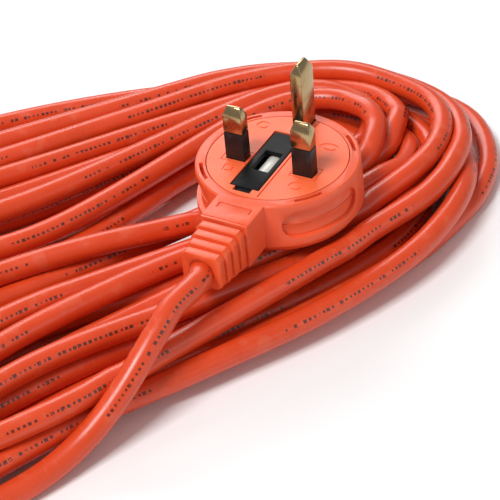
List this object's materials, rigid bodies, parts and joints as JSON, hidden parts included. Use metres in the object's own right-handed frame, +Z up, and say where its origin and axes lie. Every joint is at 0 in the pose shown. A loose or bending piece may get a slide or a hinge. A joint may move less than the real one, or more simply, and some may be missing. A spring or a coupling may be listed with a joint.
{
  "type": "mains lead with moulded three-pin plug",
  "caption": "Round moulded fused mains plug, pins up, on a loose hank of orange round flex for a garden mower, with prepared bare cores at the far end.",
  "frame": {"origin": "on the floor, under the middle of the whole lead as it lies", "axes": "+X along the hank towards its loose right-hand end, +Y across it, +Z up along the plug's pins"},
  "size_m": [0.3728, 0.1814, 0.0587],
  "materials": {
    "flex_sheath": "satin",
    "plug_pvc": "satin",
    "face_plastic": "matt",
    "boot_pvc": "satin",
    "pin_brass": "polished",
    "sleeve_nylon": "satin",
    "carrier_nylon": "satin",
    "fuse_ceramic": "glazed",
    "fuse_metal": "polished",
    "clip_brass": "as stamped",
    "bridge_plastic": "matt",
    "brown_pvc": "satin",
    "blue_pvc": "satin",
    "tie_plastic": "matt",
    "ferrule_metal": "tinned"
  },
  "bodies": {
    "lead": {"plug_body": "plug_pvc", "face_plate": "face_plastic", "pin_bridge": "bridge_plastic", "earth_pin": "pin_brass", "live_pin": "pin_brass", "neutral_pin": "pin_brass", "live_pin_sleeve": "sleeve_nylon", "neutral_pin_sleeve": "sleeve_nylon", "fuse_clip_live": "clip_brass", "fuse_clip_load": "clip_brass", "brown_crimp": "clip_brass", "blue_crimp": "clip_brass", "brown_core_in_plug": "brown_pvc", "blue_core_in_plug": "blue_pvc", "sheath_in_plug": "flex_sheath", "cable_boot": "boot_pvc", "cable_tail": "flex_sheath", "cable_hank": "flex_sheath", "hank_tie": "tie_plastic", "cable_far_end": "flex_sheath", "brown_core_end": "brown_pvc", "blue_core_end": "blue_pvc", "brown_ferrule": "ferrule_metal", "blue_ferrule": "ferrule_metal"},
    "fuse_holder": {"fuse_carrier": "carrier_nylon", "fuse_tube": "fuse_ceramic", "fuse_cap_live": "fuse_metal", "fuse_cap_load": "fuse_metal", "fuse_wire": "fuse_metal"}
  },
  "joints": [
    {"name": "fuse_holder_lift", "type": "slide", "parent": "lead", "child": "fuse_holder", "axis": [0, 0, 1], "range_m": [0, 0.02]}
  ]
}
